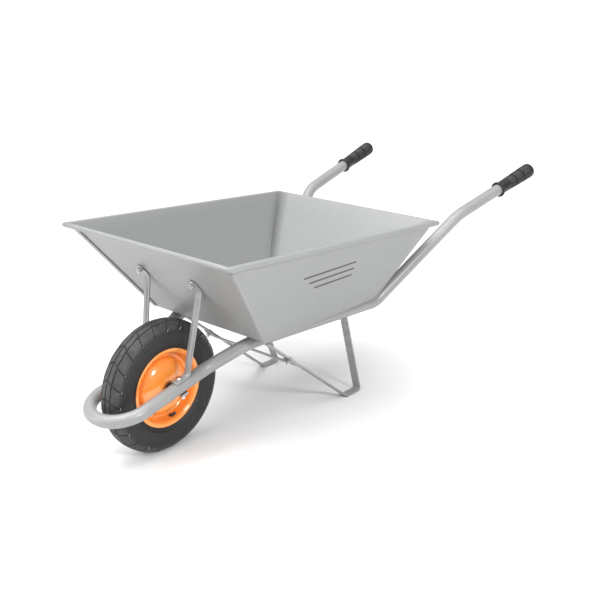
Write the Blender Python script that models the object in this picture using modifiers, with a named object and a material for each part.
"""A single-wheel garden wheelbarrow: a steel tray on one bent tube, two flat-bar legs and a tyred wheel.

X points forward to the wheel, Y to the left and Z up, in metres.
Sizes are measured from the point on the ground under the wheel's centre, and at the end the
whole wheelbarrow is moved along X so that its box is centred on the origin.
"""

import math

import bmesh
import bpy
from mathutils import Vector

MM = 0.001

# Clearances
TOUCH = 0.3 * MM  # between pieces that touch
HOLE_PLAY = 0.6 * MM  # round a bolt in its hole, on the radius
RUN_PLAY = 0.25 * MM  # between the axle and its bushes, on the radius

# Facets of round pieces
WHEEL_STEPS = 32
HUB_STEPS = 24
TUBE_SIDES = 12
BEND_FACET = math.radians(15)
RING_POINTS = 12
DRILL_DEPTH = 24 * MM  # each way through a sheet or a bar

# Wheel
WHEEL_R = 165 * MM
TYRE_HALF_WIDTH = 35 * MM
TYRE_HEIGHT = 72 * MM
TYRE_WALL = 5 * MM
TYRE_SQUARENESS = 2.3
TYRE_BEAD_ANGLE = math.radians(134)
TYRE_BEAD_HEIGHT = 4 * MM
TYRE_BEAD_WIDTH = 9 * MM
RIM_DEPTH = 65.8 * MM  # from the tread in to the rim's edge
RIM_R = WHEEL_R - RIM_DEPTH
RIM_HALF_WIDTH = 28.2 * MM
RIM_SHEET = 1.6 * MM
RIM_FLANGE_DEPTH = 11 * MM
RIM_WELL_HALF_WIDTH = 10 * MM
RIM_RING_WIDTH = 7 * MM
RIM_RING_DEPTH = 19.2 * MM
RIM_RING_R = RIM_R - RIM_RING_DEPTH
RIM_DOME_RISE = 30 * MM
RIM_COLLAR_DEPTH = 6 * MM
TUBE_SECTION_R = 27 * MM
TUBE_WALL_RUBBER = 2 * MM
VALVE_ANGLE = math.radians(-101)
VALVE_CROSS = Vector((RIM_R - 13.2 * MM, 12 * MM))  # radius and side offset where it passes the rim
VALVE_LEAN = math.radians(50)
VALVE_R = 3.8 * MM
VALVE_BASE_R = 6.5 * MM
VALVE_BASE = 2 * MM
VALVE_INSIDE = 9 * MM
VALVE_AIRWAY = 26 * MM  # bored from the valve's base into the inner tube
VALVE_OUTSIDE = 13 * MM
VALVE_CAP_LENGTH = 10 * MM
VALVE_CAP_R = 4.4 * MM

# Hub and axle
AXLE_R = 8 * MM
AXLE_END_THICK = 6 * MM
AXLE_END_WIDTH = 20 * MM
AXLE_END_RISE = 2 * MM
AXLE_END_BEYOND = 12 * MM
AXLE_SHOULDER = 5 * MM  # from the round part's end to the tube's inner side
BUSH_WALL = 5.6 * MM
BUSH_FLANGE_R = 15.5 * MM
BUSH_FLANGE = 4.5 * MM
BUSH_LENGTH = 18 * MM
HUB_SLEEVE_WALL = 2 * MM
HUB_HALF_LENGTH = 31 * MM
SPACER_WALL = 3 * MM

# Frame tube: corner points of its centre line, nose to handle
TUBE_R = 15.875 * MM
TUBE_WALL = 1.5 * MM
NOSE_X = 188 * MM
NOSE_HALF_WIDTH = 80 * MM
NOSE_DROP = 19 * MM  # below the wheel's centre
NOSE_Z = WHEEL_R - NOSE_DROP
NOSE_ROUNDNESS = 0.95
NOSE_BEND_R = NOSE_ROUNDNESS * NOSE_HALF_WIDTH
AXLE_HALF_SPAN = 76 * MM
AXLE_BEND_R = 300 * MM
AXLE_BEND_SAG = 0.1 * MM  # how far this bend runs below its corner point
KNEE_RISE = 41 * MM  # above the wheel's centre
KNEE = Vector((-87 * MM, 75 * MM, WHEEL_R + KNEE_RISE))
RAIL_FRONT_X = -163 * MM
RAIL_FRONT_Y = 137 * MM
RAIL_REAR_X = -603 * MM
RAIL_REAR_Y = 186 * MM
RAIL_BEND_R = 90 * MM
REAR_BEND_R = 50 * MM
HANDLE_BEND = Vector((-868 * MM, 270 * MM, 466.5 * MM))
HANDLE_BEND_R = 120 * MM
HANDLE_END = Vector((-1213 * MM, 302 * MM, 550 * MM))
TUBE_BENDS = [NOSE_BEND_R, AXLE_BEND_R, RAIL_BEND_R, RAIL_BEND_R, REAR_BEND_R, HANDLE_BEND_R]

# Grips
GRIP_LENGTH = 163 * MM
GRIP_NECK_R = TUBE_R + 2.125 * MM
GRIP_BODY_R = TUBE_R + 5.325 * MM
GRIP_COLLAR_R = TUBE_R + 6.625 * MM
GRIP_COLLAR = 5 * MM
GRIP_END_WALL = 4 * MM
GRIP_ROUND = 7 * MM
GRIP_PLAY = 0.35 * MM

# Tray: inner corners of floor and rim
SHEET = 1 * MM
FLOOR_Z = 277 * MM
FLOOR_FRONT_X = -156 * MM
FLOOR_REAR_X = -588 * MM
FLOOR_HALF_WIDTH = 197 * MM
RIM_FRONT = Vector((31 * MM, 277 * MM, 522 * MM))
RIM_REAR = Vector((-726 * MM, 280 * MM, 476 * MM))
BEAD_R = 7 * MM
BEAD_TURN = math.radians(300)
BEAD_STEPS = 10
SIDE_SPANS = 4  # along the twisted side panel
FLANGE_WIDTH = 9 * MM
FLANGE_ROOT = 4 * MM  # overlap with the side panel
FLANGE_SINK = 0.1 * SHEET  # into the side panel, so that they join
FLANGE_TOP_GAP = 22 * MM
FLANGE_FOOT_GAP = 6 * MM

# Front struts
STRUT_WIDTH = 20 * MM
STRUT_SHEET = 3 * MM
STRUT_RIB = 3.5 * MM
STRUT_RIB_ENDS = (0.06, 0.94)  # along the strut's straight part
STRUT_SHARES = (-1, -0.5, -0.3, 0.3, 0.5, 1)  # across its half-width
STRUT_RIB_SHARE = 0.4  # of the half-width, inside which it is raised
STRUT_HEEL_BACK = 25 * MM  # behind the axle bolt
STRUT_FOOT_FRONT = 16 * MM  # in front of the axle bolt
STRUT_TOP_Y = 92 * MM
STRUT_BOLT_UP = 155 * MM  # height of the tray bolt above the floor
STRUT_TAB_BELOW = 28 * MM
STRUT_TAB_ABOVE = 10 * MM
STRUT_BEND_R = 9 * MM
SADDLE_GAP = 0.8 * MM  # between the strut's foot and the tube

# Rear legs
LEG_WIDTH = 25 * MM
LEG_THICK = 4 * MM
LEG_BEND_R = 8 * MM
LEG_Y = 155 * MM
FOOT_FRONT_X = -518 * MM
FOOT_REAR_X = -575 * MM
STAY_TOP_X = -215 * MM
UPRIGHT_TOP_X = -485 * MM

# Cross brace between the stays
BRACE_X = -322 * MM
BRACE_WIDTH = 25 * MM
BRACE_THICK = 3 * MM
BRACE_TAB = 38 * MM
BRACE_BOLT_SHARE = 0.75  # of the tab, from the bar to its bolt
BRACE_STEP = 2 * MM  # over which the bar narrows from the tab

# Fasteners
BOLT_R = 4 * MM
AXLE_BOLT_R = 4 * MM
HEAD_HEIGHT = 5.5 * MM
HEAD_R = 7.5 * MM
DOME_R = 8.6 * MM
DOME_HEIGHT = 3.3 * MM
NUT_HEIGHT = 6.5 * MM
WASHER_R = 9 * MM
WASHER_THICK = 1.6 * MM
THREAD_BEYOND = 4 * MM
SCREW_R = 3 * MM
SCREW_HEAD_R = 6.5 * MM
SCREW_HEAD_HEIGHT = 2.4 * MM
SCREW_LENGTH = 13 * MM
SCREW_FROM_FRONT = 45 * MM
SCREW_FROM_REAR = 60 * MM

SIDES = (("left", 1), ("right", -1))
UP = Vector((0, 0, 1))
ACROSS = Vector((0, 1, 0))


def clear_scene():
    for old in list(bpy.data.objects):
        bpy.data.objects.remove(old)


def new_collection(name):
    collection = bpy.data.collections.new(name)
    bpy.context.scene.collection.children.link(collection)
    return collection


def new_material(name, colour, roughness, metallic=0.0):
    material = bpy.data.materials.new(name)
    material.use_nodes = True
    shader = material.node_tree.nodes["Principled BSDF"]
    shader.inputs["Base Color"].default_value = (*colour, 1)
    shader.inputs["Roughness"].default_value = roughness
    shader.inputs["Metallic"].default_value = metallic
    return material


clear_scene()
parts = new_collection("wheelbarrow")
cutters = new_collection("cutters")

tray_grey = new_material("tray_grey", (0.43, 0.44, 0.43), 0.45, 0.3)
frame_grey = new_material("frame_grey", (0.5, 0.51, 0.51), 0.4, 0.3)
leg_grey = new_material("leg_grey", (0.38, 0.39, 0.4), 0.5, 0.3)
rim_orange = new_material("rim_orange", (0.87, 0.2, 0.03), 0.25)
tyre_black = new_material("tyre_black", (0.035, 0.035, 0.037), 0.75)
tube_rubber = new_material("tube_rubber", (0.02, 0.02, 0.02), 0.6)
grip_black = new_material("grip_black", (0.03, 0.03, 0.032), 0.55)
nylon_black = new_material("nylon_black", (0.02, 0.02, 0.02), 0.5)
axle_steel = new_material("axle_steel", (0.4, 0.4, 0.4), 0.4, 0.9)
zinc_plate = new_material("zinc_plate", (0.7, 0.7, 0.68), 0.25, 1.0)

datum = bpy.data.objects.new("ground_under_wheel", None)
wheel_axis = bpy.data.objects.new("wheel_axis", None)
for empty in (datum, wheel_axis):
    parts.objects.link(empty)
wheel_axis.parent = datum
wheel_axis.location = (0, 0, WHEEL_R)


# Shapes


def new_object(name, mesh, material, parent=None, collection=parts):
    obj = bpy.data.objects.new(name, mesh)
    collection.objects.link(obj)
    obj.parent = parent or datum
    if material:
        mesh.materials.append(material)
    return obj


def smooth(obj, angle=40):
    obj.data.shade_smooth()
    obj.data.set_sharp_from_angle(angle=math.radians(angle))
    return obj


def turned(name, outline, material, steps, parent=None):
    """A closed outline of (radius, height) points, outer side first from the top down, turned about Z."""
    mesh = bpy.data.meshes.new(name)
    count = len(outline)
    edges = [(i, (i + 1) % count) for i in range(count)]
    mesh.from_pydata([(r, 0, z) for r, z in outline], edges, [])
    obj = new_object(name, mesh, material, parent)
    add_screw(obj, steps)
    return obj


def add_screw(obj, steps):
    screw = obj.modifiers.new("Turn", "SCREW")
    screw.steps = steps
    screw.render_steps = steps
    screw.use_merge_vertices = True
    screw.merge_threshold = 0.00001
    screw.use_smooth_shade = True


def add_thickness(obj, thickness, offset):
    solidify = obj.modifiers.new("Wall", "SOLIDIFY")
    solidify.thickness = thickness
    solidify.offset = offset
    solidify.use_even_offset = True


def loft(name, sections, material, parent=None, closed=False, collection=parts):
    """A solid through sections with the same even number of points; closed joins the last to the first.

    The ends are closed with a strip of quads between the two halves of the section, so that a
    sheet's thin section is closed straight across its thickness. The sides are split into
    triangles along the same diagonal on both halves, so that a twisted sheet keeps its thickness.
    """
    bm = bmesh.new()
    rings = [[bm.verts.new(point) for point in section] for section in sections]
    spans = list(zip(rings, rings[1:]))
    if closed:
        spans.append((rings[-1], rings[0]))
    for ring, following in spans:
        for i in range(len(ring)):
            j = (i + 1) % len(ring)
            a, b, c, d = ring[i], ring[j], following[j], following[i]
            if i >= len(ring) // 2:
                a, b, c, d = b, c, d, a
            bm.faces.new((a, b, c))
            bm.faces.new((a, c, d))
    for ring in [] if closed else (rings[0], rings[-1]):
        for i in range(len(ring) // 2 - 1):
            bm.faces.new((ring[i], ring[i + 1], ring[-i - 2], ring[-i - 1]))
    bmesh.ops.recalc_face_normals(bm, faces=bm.faces)
    mesh = bpy.data.meshes.new(name)
    bm.to_mesh(mesh)
    bm.free()
    return new_object(name, mesh, material, parent, collection)


def point_to(obj, place, direction):
    """Puts the object's origin at place, with its Z along direction."""
    obj.location = place
    obj.rotation_mode = "QUATERNION"
    obj.rotation_quaternion = Vector(direction).to_track_quat("Z", "Y")
    return obj


def to_wheel_axis(obj):
    """Turns a piece made about Z so that its axis is the wheel's, along Y."""
    obj.rotation_euler = (-math.pi / 2, 0, 0)
    return smooth(obj)


def drill(obj, place, direction, radius, depth):
    """Cuts a round hole centred on place, depth long."""
    bm = bmesh.new()
    bmesh.ops.create_cone(
        bm, cap_ends=True, segments=16, radius1=radius, radius2=radius, depth=depth
    )
    mesh = bpy.data.meshes.new(obj.name + "_drill")
    bm.to_mesh(mesh)
    bm.free()
    cutter = new_object(mesh.name, mesh, None, collection=cutters)
    point_to(cutter, place, direction)
    add_boolean(obj, cutter, "DIFFERENCE")


def add_boolean(obj, other, operation):
    other.hide_render = True
    other.display_type = "WIRE"
    boolean = obj.modifiers.new(other.name, "BOOLEAN")
    boolean.operation = operation
    boolean.object = other


def round_ring(radius, height):
    return ring_of([radius] * RING_POINTS, height)


def hex_ring(corner_radius, height):
    flat_radius = corner_radius * math.cos(math.pi / 6)
    return ring_of([corner_radius, flat_radius] * (RING_POINTS // 2), height)


def ring_of(radii, height):
    turn = 2 * math.pi / len(radii)
    return [
        Vector((r * math.cos(i * turn), r * math.sin(i * turn), height))
        for i, r in enumerate(radii)
    ]


def hex_bolt(name, place, direction, length, radius=BOLT_R, head=HEAD_R):
    """A bolt whose head stands along direction from place, and whose shank goes the other way."""
    rings = [hex_ring(head, HEAD_HEIGHT), hex_ring(head, 0)]
    rings += [round_ring(radius, 0), round_ring(radius, -length)]
    return point_to(loft(name, rings, zinc_plate), place, direction)


def dome_bolt(name, place, direction, length, radius, head, height):
    """A bolt or screw with a low round head."""
    rings = [round_ring(head * 0.55, height), round_ring(head * 0.85, height * 0.65)]
    rings += [round_ring(head, 0), round_ring(radius, 0), round_ring(radius, -length)]
    return point_to(smooth(loft(name, rings, zinc_plate)), place, direction)


def nut(name, place, direction, radius=BOLT_R, outer=HEAD_R):
    """A hexagon nut that stands along direction from place."""
    bore = radius + TOUCH
    rings = [hex_ring(outer, 0), hex_ring(outer, NUT_HEIGHT)]
    rings += [round_ring(bore, NUT_HEIGHT), round_ring(bore, 0)]
    return point_to(loft(name, rings, zinc_plate, closed=True), place, direction)


def washer(name, place, direction):
    """A plain washer that stands along direction from place."""
    bore = BOLT_R + TOUCH
    rings = [round_ring(WASHER_R, 0), round_ring(WASHER_R, WASHER_THICK)]
    rings += [round_ring(bore, WASHER_THICK), round_ring(bore, 0)]
    return point_to(loft(name, rings, zinc_plate, closed=True), place, direction)


def mirrored(point):
    return Vector((point[0], -point[1], point[2]))


def on_side(point, sign):
    return Vector((point[0], sign * point[1], point[2]))


def filleted(corners, radii):
    """The corner points joined by straight runs, with an arc of the given radius at each inner corner."""
    path = [Vector(corners[0])]
    for i, radius in enumerate(radii, start=1):
        corner = Vector(corners[i])
        back = (Vector(corners[i - 1]) - corner).normalized()
        ahead = (Vector(corners[i + 1]) - corner).normalized()
        half = back.angle(ahead) / 2
        centre = corner + (back + ahead).normalized() * (radius / math.sin(half))
        start = corner + back * (radius / math.tan(half)) - centre
        end = corner + ahead * (radius / math.tan(half)) - centre
        turn = math.pi - 2 * half
        steps = max(2, math.ceil(turn / BEND_FACET))
        for k in range(steps + 1):
            t = k / steps
            arm = start * math.sin((1 - t) * turn) + end * math.sin(t * turn)
            path.append(centre + arm / math.sin(turn))
    path.append(Vector(corners[-1]))
    return path


def tangents(path):
    last = len(path) - 1
    return [
        (path[min(i + 1, last)] - path[max(i - 1, 0)]).normalized()
        for i in range(len(path))
    ]


def flat_bar(name, path, width, thickness, material):
    """A bar of rectangular section along path, with its width across the wheelbarrow."""
    sections = []
    for point, along in zip(path, tangents(path)):
        side = (ACROSS - along * ACROSS.dot(along)).normalized() * (width / 2)
        face = along.cross(side).normalized() * (thickness / 2)
        sections.append(
            [point + side + face, point - side + face, point - side - face, point + side - face]
        )
    return loft(name, sections, material)


# Wheel


def oval(angle, height, half_width, middle):
    """A point of the tyre's section, as radius and side offset, at an angle from the tread's middle."""
    power = 2 / TYRE_SQUARENESS
    out = math.copysign(abs(math.cos(angle)) ** power, math.cos(angle))
    side = math.copysign(abs(math.sin(angle)) ** power, math.sin(angle))
    return (middle + height * out, half_width * side)


RIM_SEAT_R = RIM_R - RIM_FLANGE_DEPTH - RIM_SHEET / 2
BEAD_SEAT_R = RIM_SEAT_R + RIM_SHEET / 2 + 3 * TOUCH
BEAD_FACE = RIM_HALF_WIDTH - RIM_SHEET - TOUCH * 2
SLEEVE_R = AXLE_R + RUN_PLAY + BUSH_WALL + TOUCH + HUB_SLEEVE_WALL
COLLAR_R = SLEEVE_R + 2 * TOUCH + RIM_SHEET / 2
BUSH_FACE = HUB_HALF_LENGTH + TOUCH + BUSH_FLANGE


def make_tyre():
    middle = WHEEL_R - TYRE_HEIGHT / 2
    half = TYRE_HEIGHT / 2
    count = 8
    angles = [TYRE_BEAD_ANGLE * (1 - i / count) for i in range(2 * count + 1)]
    outer = [oval(a, half, TYRE_HALF_WIDTH, middle) for a in angles]
    inner = [
        oval(-a, half - TYRE_WALL, TYRE_HALF_WIDTH - TYRE_WALL, middle) for a in angles[::2]
    ]
    bead = [
        (BEAD_SEAT_R + TYRE_BEAD_HEIGHT, BEAD_FACE),
        (BEAD_SEAT_R + TYRE_BEAD_HEIGHT / 3, BEAD_FACE - TYRE_BEAD_WIDTH / 4),
        (BEAD_SEAT_R, BEAD_FACE - TYRE_BEAD_WIDTH / 2),
        (BEAD_SEAT_R, BEAD_FACE - TYRE_BEAD_WIDTH),
    ]
    far_bead = [(r, -a) for r, a in bead]
    outline = outer + far_bead + inner + bead[::-1]
    return to_wheel_axis(turned("tyre", outline, tyre_black, WHEEL_STEPS, wheel_axis))


def make_inner_tube():
    middle = WHEEL_R - TYRE_HEIGHT / 2 - TUBE_WALL_RUBBER / 2
    count = 10
    ring = []
    for i in range(count):
        angle = math.pi / 2 - 2 * math.pi * i / count
        radius = TUBE_SECTION_R - TUBE_WALL_RUBBER / 2
        ring.append((middle + radius * math.cos(angle), radius * math.sin(angle)))
    obj = turned("inner_tube", ring, tube_rubber, WHEEL_STEPS, wheel_axis)
    add_thickness(obj, TUBE_WALL_RUBBER, -1)
    to_wheel_axis(obj)
    airway = valve_point(-VALVE_INSIDE - VALVE_AIRWAY / 2)
    drill(obj, airway, valve_direction(), VALVE_R / 2, VALVE_AIRWAY)
    return obj


def rim_outline():
    """The rim half's middle line as (radius, side offset), from the lip to the collar on the hub."""
    seam = RIM_SHEET / 2 + TOUCH / 2
    line = [
        (RIM_R - RIM_SHEET / 2, RIM_HALF_WIDTH - RIM_SHEET * 0.6),
        (RIM_SEAT_R + RIM_FLANGE_DEPTH * 0.4, RIM_HALF_WIDTH - RIM_SHEET / 2),
        (RIM_SEAT_R + RIM_SHEET, RIM_HALF_WIDTH - 2 * RIM_SHEET),
        (RIM_SEAT_R, RIM_HALF_WIDTH - 4 * RIM_SHEET),
        (RIM_SEAT_R - RIM_SHEET, RIM_WELL_HALF_WIDTH),
        (RIM_RING_R + 2 * RIM_SHEET, seam + 1.5 * RIM_SHEET),
        (RIM_RING_R, seam),
        (RIM_RING_R - RIM_RING_WIDTH, seam),
    ]
    dome_r = RIM_RING_R - RIM_RING_WIDTH - RIM_SHEET
    foot = seam + RIM_SHEET
    count = 5
    for i in range(count + 1):
        angle = math.pi / 2 * i / count
        radius = dome_r - (dome_r - COLLAR_R - RIM_SHEET) * (1 - math.cos(angle))
        line.append((radius, foot + (RIM_DOME_RISE - foot) * math.sin(angle)))
    line.append((COLLAR_R, RIM_DOME_RISE - RIM_SHEET))
    line.append((COLLAR_R, RIM_DOME_RISE - RIM_COLLAR_DEPTH))
    return line


def make_rim_half(side, sign):
    name = "rim_half_" + side
    line = [(r, sign * a) for r, a in rim_outline()]
    mesh = bpy.data.meshes.new(name)
    mesh.from_pydata([(r, 0, a) for r, a in line], [(i, i + 1) for i in range(len(line) - 1)], [])
    obj = new_object(name, mesh, rim_orange, wheel_axis)
    add_screw(obj, WHEEL_STEPS)
    add_thickness(obj, RIM_SHEET, 0)
    to_wheel_axis(obj)
    if sign > 0:
        drill(obj, valve_point(0), valve_direction(), VALVE_R + HOLE_PLAY, DRILL_DEPTH / 2)
    return obj


def valve_radial():
    return Vector((math.cos(VALVE_ANGLE), 0, math.sin(VALVE_ANGLE)))


def valve_direction():
    return (ACROSS * math.sin(VALVE_LEAN) - valve_radial() * math.cos(VALVE_LEAN)).normalized()


def valve_point(along):
    """A point of the valve's axis, measured outwards from where it passes the rim."""
    crossing = valve_radial() * VALVE_CROSS[0] + ACROSS * VALVE_CROSS[1]
    return UP * WHEEL_R + crossing + valve_direction() * along


def make_valve():
    stem = [
        (VALVE_R * 0.8, VALVE_OUTSIDE),
        (VALVE_R, -VALVE_INSIDE + VALVE_BASE),
        (VALVE_BASE_R, -VALVE_INSIDE + VALVE_BASE),
        (VALVE_BASE_R, -VALVE_INSIDE),
        (0, -VALVE_INSIDE),
        (0, VALVE_OUTSIDE),
    ]
    cap_start = VALVE_OUTSIDE + TOUCH
    cap_end = cap_start + VALVE_CAP_LENGTH
    cap = [
        (VALVE_CAP_R * 0.7, cap_end),
        (VALVE_CAP_R, cap_end - VALVE_CAP_R * 0.3),
        (VALVE_CAP_R, cap_start),
        (0, cap_start),
        (0, cap_end),
    ]
    for name, outline, material in (("valve_stem", stem, tube_rubber), ("valve_cap", cap, nylon_black)):
        obj = turned(name, outline, material, RING_POINTS)
        point_to(smooth(obj), valve_point(0), valve_direction())
        keep_place = obj.location - UP * WHEEL_R
        obj.parent = wheel_axis
        obj.location = keep_place


def sleeve(name, outer, bore, low, high, material, parent):
    outline = [(outer, high), (outer, low), (bore, low), (bore, high)]
    return to_wheel_axis(turned(name, outline, material, HUB_STEPS, parent))


def make_hub():
    bore = (AXLE_R + RUN_PLAY) / math.cos(math.pi / HUB_STEPS)
    seat = bore + BUSH_WALL
    sleeve("hub_sleeve", SLEEVE_R, seat + TOUCH, -HUB_HALF_LENGTH, HUB_HALF_LENGTH, axle_steel, wheel_axis)
    face = HUB_HALF_LENGTH + TOUCH
    outline = [
        (BUSH_FLANGE_R, BUSH_FACE),
        (BUSH_FLANGE_R, face),
        (seat, face),
        (seat, HUB_HALF_LENGTH - BUSH_LENGTH),
        (bore, HUB_HALF_LENGTH - BUSH_LENGTH),
        (bore, BUSH_FACE),
    ]
    for side, sign in SIDES:
        line = outline if sign > 0 else [(r, -a) for r, a in reversed(outline)]
        to_wheel_axis(turned("hub_bush_" + side, line, nylon_black, HUB_STEPS, wheel_axis))


# Frame tube and what is fixed to it at the axle


def tube_corners():
    tube_z = FLOOR_Z - TOUCH - TUBE_R
    axle = axle_station()
    return [
        Vector((NOSE_X, 0, NOSE_Z)),
        Vector((NOSE_X, NOSE_HALF_WIDTH, NOSE_Z)),
        axle,
        KNEE,
        Vector((RAIL_FRONT_X, RAIL_FRONT_Y, tube_z)),
        Vector((RAIL_REAR_X, RAIL_REAR_Y, tube_z)),
        HANDLE_BEND,
        HANDLE_END,
    ]


def axle_slope():
    """Unit vectors along the tube, forward, and square to it, up, where it crosses the axle."""
    along = Vector((NOSE_X - KNEE.x, 0, NOSE_Z - KNEE.z)).normalized()
    return along, Vector((-along.z, 0, along.x))


def axle_station():
    """The corner of the tube's centre line over the axle's end, high enough to rest on it."""
    _, square = axle_slope()
    rise = AXLE_END_RISE + AXLE_END_THICK / 2 + TOUCH + TUBE_R
    return Vector((0, AXLE_HALF_SPAN, WHEEL_R)) + square * (rise + AXLE_BEND_SAG)


def rail_point(x):
    """The point of the left rail's centre line under the tray at x."""
    share = (x - RAIL_FRONT_X) / (RAIL_REAR_X - RAIL_FRONT_X)
    y = RAIL_FRONT_Y + (RAIL_REAR_Y - RAIL_FRONT_Y) * share
    return Vector((x, y, FLOOR_Z - TOUCH - TUBE_R))


def screw_stations():
    return (FLOOR_FRONT_X - SCREW_FROM_FRONT, FLOOR_REAR_X + SCREW_FROM_REAR)


def axle_bolt_place(sign, height):
    """On the axle bolt's line, at a height above the tube's centre line."""
    _, square = axle_slope()
    return on_side(axle_station(), sign) + square * height


def make_frame_tube():
    half = filleted(tube_corners(), TUBE_BENDS)
    direction = (half[-1] - half[-2]).normalized()
    half[-1] = half[-1] - direction * (GRIP_END_WALL + 2 * TOUCH)
    path = [mirrored(p) for p in reversed(half[1:])] + half[1:]
    curve = bpy.data.curves.new("frame_tube", "CURVE")
    curve.dimensions = "3D"
    curve.bevel_depth = TUBE_R
    curve.bevel_resolution = (TUBE_SIDES - 4) // 2
    spline = curve.splines.new("POLY")
    spline.points.add(len(path) - 1)
    for knot, point in zip(spline.points, path):
        knot.co = (*point, 1)
    guide = bpy.data.objects.new("frame_tube_path", curve)
    parts.objects.link(guide)
    bpy.context.view_layer.update()
    graph = bpy.context.evaluated_depsgraph_get()
    mesh = bpy.data.meshes.new_from_object(guide.evaluated_get(graph))
    mesh.name = "frame_tube"
    bpy.data.objects.remove(guide)
    obj = new_object("frame_tube", mesh, frame_grey)
    add_thickness(obj, TUBE_WALL, -1)
    smooth(obj)
    _, square = axle_slope()
    for _, sign in SIDES:
        drill(obj, axle_bolt_place(sign, 0), square, AXLE_BOLT_R + HOLE_PLAY, 4 * TUBE_R)
        for x in screw_stations():
            top = on_side(rail_point(x), sign) + UP * TUBE_R
            drill(obj, top, UP, SCREW_R + HOLE_PLAY / 2, 4 * TUBE_WALL)
    return obj


def make_axle():
    """A round bar with flattened, drilled ends that lie under the frame tube."""
    along, square = axle_slope()
    centre = UP * WHEEL_R
    round_end = AXLE_HALF_SPAN - TUBE_R - AXLE_SHOULDER
    flat_start = AXLE_HALF_SPAN - AXLE_END_BEYOND
    flat_end = AXLE_HALF_SPAN + AXLE_END_BEYOND
    count = 16

    def section(y, wide, thick, rise, corner):
        points = []
        for i in range(count):
            angle = 2 * math.pi * (i + 0.5) / count
            u = math.copysign(abs(math.cos(angle)) ** corner, math.cos(angle)) * wide
            v = math.copysign(abs(math.sin(angle)) ** corner, math.sin(angle)) * thick
            points.append(centre + ACROSS * y + along * u + square * (v + rise))
        return points

    bar = (AXLE_R, AXLE_R, 0, 1)
    flat = (AXLE_END_WIDTH / 2, AXLE_END_THICK / 2, AXLE_END_RISE, 0.3)
    left = [(round_end, *bar), (flat_start, *flat), (flat_end, *flat)]
    right = [(-y, *rest) for y, *rest in reversed(left)]
    obj = smooth(loft("axle", [section(*values) for values in right + left], axle_steel))
    for _, sign in SIDES:
        drill(obj, axle_bolt_place(sign, -TUBE_R), square, AXLE_BOLT_R + HOLE_PLAY, 3 * TUBE_R)
    return obj


def make_spacers():
    start = BUSH_FACE + TOUCH
    end = AXLE_HALF_SPAN - TUBE_R - AXLE_SHOULDER - TOUCH
    bore = AXLE_R + TOUCH
    for side, sign in SIDES:
        low, high = sorted((sign * start, sign * end))
        obj = sleeve("axle_spacer_" + side, bore + SPACER_WALL, bore, low, high, axle_steel, datum)
        obj.location = UP * WHEEL_R


def make_axle_bolts():
    _, square = axle_slope()
    head_at = TUBE_R + SADDLE_GAP + STRUT_SHEET + TOUCH
    nut_at = -(TUBE_R + TOUCH + AXLE_END_THICK + TOUCH + WASHER_THICK + TOUCH)
    length = head_at - nut_at + NUT_HEIGHT + THREAD_BEYOND
    for side, sign in SIDES:
        hex_bolt("axle_bolt_" + side, axle_bolt_place(sign, head_at), square, length, AXLE_BOLT_R)
        washer("axle_washer_" + side, axle_bolt_place(sign, nut_at + WASHER_THICK + TOUCH), -square)
        nut("axle_nut_" + side, axle_bolt_place(sign, nut_at), -square, AXLE_BOLT_R)


def make_grips():
    corners = tube_corners()
    direction = (corners[-1] - corners[-2]).normalized()
    bore = (TUBE_R + GRIP_PLAY) / math.cos(math.pi / HUB_STEPS)
    outline = [
        (GRIP_BODY_R - GRIP_ROUND, GRIP_LENGTH),
        (GRIP_BODY_R - GRIP_ROUND * 0.25, GRIP_LENGTH - GRIP_ROUND * 0.3),
        (GRIP_BODY_R, GRIP_LENGTH - GRIP_ROUND),
        (GRIP_BODY_R * 0.97, GRIP_LENGTH * 0.7),
        (GRIP_NECK_R * 1.03, GRIP_LENGTH * 0.3),
        (GRIP_NECK_R, GRIP_COLLAR * 2),
        (GRIP_COLLAR_R, GRIP_COLLAR),
        (GRIP_COLLAR_R, GRIP_COLLAR * 0.2),
        (GRIP_COLLAR_R - GRIP_COLLAR * 0.2, 0),
        (bore, 0),
        (bore, GRIP_LENGTH - GRIP_END_WALL),
        (0, GRIP_LENGTH - GRIP_END_WALL),
        (0, GRIP_LENGTH),
    ]
    start = corners[-1] - direction * GRIP_LENGTH
    for side, sign in SIDES:
        obj = smooth(turned("grip_" + side, outline, grip_black, HUB_STEPS))
        point_to(obj, on_side(start, sign), on_side(direction, sign))


# Tray


def front_floor(sign):
    return Vector((FLOOR_FRONT_X, sign * FLOOR_HALF_WIDTH, FLOOR_Z + SHEET))


def rear_floor(sign):
    return Vector((FLOOR_REAR_X, sign * FLOOR_HALF_WIDTH, FLOOR_Z + SHEET))


def panel_frame(foot, top, edge):
    """Unit vectors up the panel and out of it, square to its rim edge."""
    rise = top - foot
    up = (rise - edge * rise.dot(edge)).normalized()
    out = edge.cross(up).normalized()
    inside = Vector((FLOOR_FRONT_X / 2 + FLOOR_REAR_X / 2, 0, FLOOR_Z + 1)) - top
    if out.dot(inside) > 0:
        out = -out
    return up, out


def bead_points(foot, top, edge, depth):
    """Points of the panel's rolled edge at top, depth under the tray's inner face."""
    up, out = panel_frame(foot, top, edge)
    centre = top + out * BEAD_R
    radius = BEAD_R - depth
    points = []
    for i in range(BEAD_STEPS + 1):
        angle = BEAD_TURN * i / BEAD_STEPS
        points.append(centre - out * radius * math.cos(angle) + up * radius * math.sin(angle))
    return points


def meeting(first, along, second, across):
    """The point midway between two lines where they pass closest."""
    gap = second - first
    a = along.dot(across)
    share = 1 - a * a
    s = (gap.dot(along) - a * gap.dot(across)) / share
    t = (a * gap.dot(along) - gap.dot(across)) / share
    return (first + along * s + second + across * t) / 2


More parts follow.
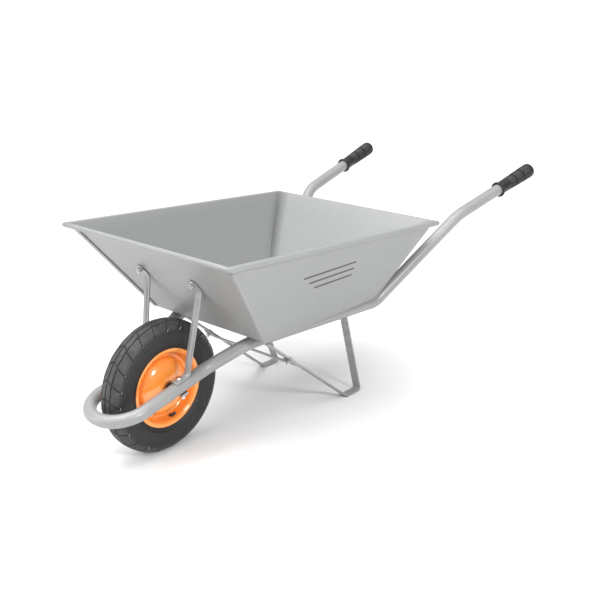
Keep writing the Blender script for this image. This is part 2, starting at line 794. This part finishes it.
def corner_points(corner, sign, depth):
    """The mitred rim corner: one point for each step of the bead, shared by the two panels there."""
    is_front = corner == "front"
    top = on_side(RIM_FRONT if is_front else RIM_REAR, sign)
    foot = front_floor(sign) if is_front else rear_floor(sign)
    end_edge = ACROSS.copy()
    side_edge = (on_side(RIM_FRONT, sign) - on_side(RIM_REAR, sign)).normalized()
    end_bead = bead_points(foot, top, end_edge, depth)
    side_bead = bead_points(foot, top, side_edge, depth)
    return [meeting(a, end_edge, b, side_edge) for a, b in zip(end_bead, side_bead)]


def floor_corner(corner, sign, depth):
    """The corner of floor, end panel and side panel, depth under their inner faces."""
    is_front = corner == "front"
    foot = front_floor(sign) if is_front else rear_floor(sign)
    top = on_side(RIM_FRONT if is_front else RIM_REAR, sign)
    up, _ = panel_frame(foot, top, ACROSS)
    lean = math.acos(abs(up.x))
    shift = depth * math.tan(lean / 2)
    return foot + Vector((shift if is_front else -shift, 0, -depth))


def corner_frame(corner, sign):
    """A tray corner's foot and top, its seam's direction, and the two panels' outward directions square to it."""
    is_front = corner == "front"
    foot = front_floor(sign) if is_front else rear_floor(sign)
    top = on_side(RIM_FRONT if is_front else RIM_REAR, sign)
    seam = (top - foot).normalized()
    edge = (on_side(RIM_FRONT, sign) - on_side(RIM_REAR, sign)).normalized()
    _, side_out = panel_frame(foot, top, edge)
    _, end_out = panel_frame(foot, top, ACROSS)
    side_out = (side_out - seam * side_out.dot(seam)).normalized()
    end_out = (end_out - seam * end_out.dot(seam)).normalized()
    return foot, top, seam, side_out, end_out


def seam_offset(side_out, end_out, side_depth, end_depth):
    """From the seam to the line that lies the given depths outside the two panels' inner faces."""
    c = side_out.dot(end_out)
    a = (side_depth - c * end_depth) / (1 - c * c)
    b = (end_depth - c * side_depth) / (1 - c * c)
    return side_out * a + end_out * b


def pan_end(corner, sign, depth):
    """An end panel's section from floor to bead, cut square below the bead to butt on the side panel."""
    _, top, _, side_out, end_out = corner_frame(corner, sign)
    points = corner_points(corner, sign, depth)
    points[0] = top + seam_offset(side_out, end_out, 0, depth)
    return [floor_corner(corner, sign, depth)] + points


def pan_section(sign):
    """Closed section of front panel, floor and rear panel at one side, pulled clear of the side panel."""
    sheet = [pan_end("front", sign, depth)[::-1] + pan_end("rear", sign, depth) for depth in (0, SHEET)]
    clear = ACROSS * (-sign * TOUCH)
    return [point + clear for point in sheet[0] + sheet[1][::-1]]


def make_tray_pan():
    obj = loft("tray_pan", [pan_section(1), pan_section(-1)], tray_grey)
    _, panel_out = front_panel()
    for _, sign in SIDES:
        drill(obj, strut_bolt_place(sign), panel_out, BOLT_R + HOLE_PLAY, DRILL_DEPTH)
        for x in screw_stations():
            place = on_side(rail_point(x), sign)
            place.z = FLOOR_Z
            drill(obj, place, UP, SCREW_R + HOLE_PLAY, DRILL_DEPTH)
    return smooth(obj, 25)


def side_section(corner, sign):
    """Closed section of a side panel at its front or rear end."""
    is_front = corner == "front"
    foot = front_floor(sign) if is_front else rear_floor(sign)
    top = on_side(RIM_FRONT if is_front else RIM_REAR, sign)
    edge = (on_side(RIM_FRONT, sign) - on_side(RIM_REAR, sign)).normalized()
    _, out = panel_frame(foot, top, edge)
    sheet = []
    for depth in (0, SHEET):
        low = foot - UP * SHEET + out * (TOUCH + depth)
        sheet.append([low] + corner_points(corner, sign, depth))
    back = edge * (-TOUCH if is_front else TOUCH)
    return [point + back for point in sheet[0] + sheet[1][::-1]]


def make_tray_side(side, sign):
    front, rear = side_section("front", sign), side_section("rear", sign)
    shares = [i / SIDE_SPANS for i in range(SIDE_SPANS + 1)]
    sections = [[a.lerp(b, share) for a, b in zip(front, rear)] for share in shares]
    obj = loft("tray_side_" + side, sections, tray_grey)
    for corner in ("front", "rear"):
        lap = make_lap(side, sign, corner)
        add_boolean(obj, lap, "UNION")
    return smooth(obj, 25)


def make_lap(side, sign, corner):
    """The flange that turns from the side panel on to the outside of an end panel, as an L-section strip."""
    foot, top, seam, side_out, end_out = corner_frame(corner, sign)
    skin = FLANGE_SINK

    def at(side_depth, end_depth):
        return seam_offset(side_out, end_out, side_depth, end_depth)

    inner = SHEET + TOUCH + skin
    outer = 2 * SHEET + TOUCH - skin
    section = [
        at(TOUCH + SHEET - skin, -FLANGE_ROOT),
        at(TOUCH + SHEET - skin, outer),
        at(-FLANGE_WIDTH, outer),
        at(-FLANGE_WIDTH, inner),
        at(TOUCH + skin, inner),
        at(TOUCH + skin, -FLANGE_ROOT),
    ]
    start = foot + seam * FLANGE_FOOT_GAP
    end = top - seam * FLANGE_TOP_GAP
    sections = [[start + p for p in section], [end + p for p in section]]
    return loft("lap_" + corner + "_" + side, sections, None, collection=cutters)


def front_panel():
    """Unit vectors up the front panel and out of it."""
    top = RIM_FRONT
    return panel_frame(front_floor(1), top, ACROSS)


def strut_bolt_place(sign):
    """Where the strut's bolt passes the front panel's inner face."""
    up, _ = front_panel()
    along = STRUT_BOLT_UP / up.z
    place = front_floor(1) + up * along
    place.y = sign * STRUT_TOP_Y
    return place


def make_tray_screws():
    for end, x in zip(("front", "rear"), screw_stations()):
        for side, sign in SIDES:
            place = on_side(rail_point(x), sign)
            place.z = FLOOR_Z + SHEET + TOUCH
            name = "tray_screw_" + end + "_" + side
            dome_bolt(name, place, UP, SCREW_LENGTH, SCREW_R, SCREW_HEAD_R, SCREW_HEAD_HEIGHT)


# Front struts


def strut_path(sign):
    """Middle line of the strut's sheet, from its foot on the tube to the tab on the tray."""
    along, square = axle_slope()
    foot = axle_bolt_place(1, TUBE_R + SADDLE_GAP + STRUT_SHEET / 2)
    up, out = front_panel()
    tab = strut_bolt_place(1) + out * (SHEET + TOUCH + STRUT_SHEET / 2)
    corners = [
        foot + along * STRUT_FOOT_FRONT,
        foot - along * STRUT_HEEL_BACK,
        tab - up * STRUT_TAB_BELOW,
        tab + up * STRUT_TAB_ABOVE,
    ]
    path = filleted(corners, [STRUT_BEND_R, STRUT_BEND_R])
    return [on_side(p, sign) for p in path]


def make_strut(side, sign):
    """Flat sheet at the tab, ribbed along its length, and dished over the tube at its foot."""
    path = strut_path(sign)
    longest = max(range(len(path) - 1), key=lambda i: (path[i + 1] - path[i]).length)
    ribbed = [path[longest].lerp(path[longest + 1], share) for share in STRUT_RIB_ENDS]
    path[longest + 1 : longest + 1] = ribbed
    saddle_r = (TUBE_R + SADDLE_GAP) / math.cos(math.pi / TUBE_SIDES)
    sections = []
    for i, (point, tangent) in enumerate(zip(path, tangents(path))):
        side_arm = (ACROSS - tangent * ACROSS.dot(tangent)).normalized()
        face = side_arm.cross(tangent).normalized()
        inner = []
        for share in STRUT_SHARES:
            reach = share * STRUT_WIDTH / 2
            lift = 0
            if i <= 1:
                lift = math.sqrt(saddle_r**2 - reach**2) - saddle_r
            if i in (longest + 1, longest + 2) and abs(share) < STRUT_RIB_SHARE:
                lift = STRUT_RIB
            inner.append(point + side_arm * reach + face * (lift - STRUT_SHEET / 2))
        outer = [p + face * STRUT_SHEET for p in reversed(inner)]
        sections.append(inner + outer)
    obj = loft("front_strut_" + side, sections, frame_grey)
    _, square = axle_slope()
    _, out = front_panel()
    drill(obj, axle_bolt_place(sign, TUBE_R), square, AXLE_BOLT_R + HOLE_PLAY, DRILL_DEPTH)
    drill(obj, strut_bolt_place(sign), out, BOLT_R + HOLE_PLAY, DRILL_DEPTH)
    return smooth(obj, 30)


def make_strut_bolts():
    _, out = front_panel()
    length = SHEET + 2 * TOUCH + STRUT_SHEET + WASHER_THICK + 2 * TOUCH + NUT_HEIGHT + THREAD_BEYOND
    for side, sign in SIDES:
        place = strut_bolt_place(sign)
        outside = place + out * (SHEET + 2 * TOUCH + STRUT_SHEET)
        name = "strut_bolt_" + side
        dome_bolt(name, place - out * TOUCH, -out, length, BOLT_R, DOME_R, DOME_HEIGHT)
        washer("strut_washer_" + side, outside, out)
        nut("strut_nut_" + side, outside + out * (WASHER_THICK + TOUCH), out)


# Rear legs and the brace between them


def leg_corners(sign):
    """Middle line of the bent bar: tube, down the stay, along the foot and up the upright to the tube."""
    end_z = FLOOR_Z - 2 * TOUCH - 2 * TUBE_R
    corners = [
        Vector((STAY_TOP_X, rail_point(STAY_TOP_X).y, end_z)),
        Vector((FOOT_FRONT_X, LEG_Y, LEG_THICK / 2)),
        Vector((FOOT_REAR_X, LEG_Y, LEG_THICK / 2)),
        Vector((UPRIGHT_TOP_X, rail_point(UPRIGHT_TOP_X).y, end_z)),
    ]
    return [on_side(p, sign) for p in corners]


def stay_point(sign, x):
    """The stay's middle line at x, with the unit vector up it."""
    top, foot = leg_corners(sign)[:2]
    share = (x - foot.x) / (top.x - foot.x)
    return foot.lerp(top, share), (top - foot).normalized()


def brace_bolt_frame(sign):
    """The brace bolt's point on the stay's middle line, and the direction out of the stay's upper face."""
    _, up = stay_point(sign, BRACE_X)
    place, _ = stay_point(sign, BRACE_X + BRACE_TAB * up.x * BRACE_BOLT_SHARE)
    side = (ACROSS - up * ACROSS.dot(up)).normalized()
    return place, up, side.cross(up).normalized() * -1


def make_leg(side, sign):
    corners = leg_corners(sign)
    path = filleted(corners, [LEG_BEND_R, LEG_BEND_R])
    name = "rear_leg_" + side
    obj = flat_bar(name, path, LEG_WIDTH, LEG_THICK, leg_grey)
    level_ends(obj, corners[0].z - TOUCH)
    place, _, face = brace_bolt_frame(sign)
    drill(obj, place, face, BOLT_R + HOLE_PLAY, 5 * LEG_THICK)
    return obj


def level_ends(obj, height):
    """Slides the bar's end corners along its length until they lie level at height."""
    vertices = obj.data.vertices
    count = len(vertices)
    for ends, following in ((range(0, 4), 4), (range(count - 4, count), -4)):
        for i in ends:
            end = vertices[i].co
            along = end - vertices[i + following].co
            vertices[i].co = end + along * ((height - end.z) / along.z)


def make_brace():
    """A flat bar between the stays, its ends turned up along them and bolted under them."""
    sections = []
    offset = LEG_THICK / 2 + TOUCH + BRACE_THICK / 2
    for sign in (1, -1):
        _, up, face = brace_bolt_frame(sign)
        low, _ = stay_point(sign, BRACE_X)
        inner = low - face * offset - ACROSS * (sign * (LEG_WIDTH / 2 + BRACE_STEP))
        outer = low - face * offset + ACROSS * (sign * LEG_WIDTH / 2)
        half = up * (BRACE_WIDTH / 2)
        thick = face * (BRACE_THICK / 2)
        tab = up * (BRACE_TAB - BRACE_WIDTH / 2)
        inner_section = [inner - half - thick, inner + half - thick, inner + half + thick, inner - half + thick]
        turn = [outer - half - thick, outer + half + tab - thick, outer + half + tab + thick, outer - half + thick]
        near = low - face * offset - ACROSS * (sign * LEG_WIDTH / 2)
        tab_foot = [near - half - thick, near + half + tab - thick, near + half + tab + thick, near - half + thick]
        block = [turn, tab_foot, inner_section]
        sections += block if sign > 0 else block[::-1]
    obj = loft("cross_brace", sections, leg_grey)
    for _, sign in SIDES:
        place, _, face = brace_bolt_frame(sign)
        drill(obj, place, face, BOLT_R + HOLE_PLAY, 5 * LEG_THICK)
    return obj


def make_brace_bolts():
    length = LEG_THICK + BRACE_THICK + 3 * TOUCH + NUT_HEIGHT + THREAD_BEYOND
    for side, sign in SIDES:
        place, _, face = brace_bolt_frame(sign)
        top = place + face * (LEG_THICK / 2 + TOUCH)
        under = place - face * (LEG_THICK / 2 + TOUCH * 2 + BRACE_THICK)
        dome_bolt("brace_bolt_" + side, top, face, length, BOLT_R, DOME_R, DOME_HEIGHT)
        nut("brace_nut_" + side, under, -face)


def centre_along_x():
    """Moves the datum so that the whole wheelbarrow's box is centred on X = 0."""
    bpy.context.view_layer.update()
    graph = bpy.context.evaluated_depsgraph_get()
    reach = []
    for obj in parts.objects:
        if obj.type == "MESH":
            solid = obj.evaluated_get(graph)
            reach += [(solid.matrix_world @ v.co).x for v in solid.data.vertices]
    datum.location.x = -(min(reach) + max(reach)) / 2
    bpy.context.view_layer.update()


make_tyre()
make_inner_tube()
make_valve()
make_hub()
make_frame_tube()
make_axle()
make_spacers()
make_axle_bolts()
make_grips()
make_tray_pan()
make_tray_screws()
make_strut_bolts()
make_brace()
make_brace_bolts()
for side_name, side_sign in SIDES:
    make_rim_half(side_name, side_sign)
    make_tray_side(side_name, side_sign)
    make_strut(side_name, side_sign)
    make_leg(side_name, side_sign)
centre_along_x()
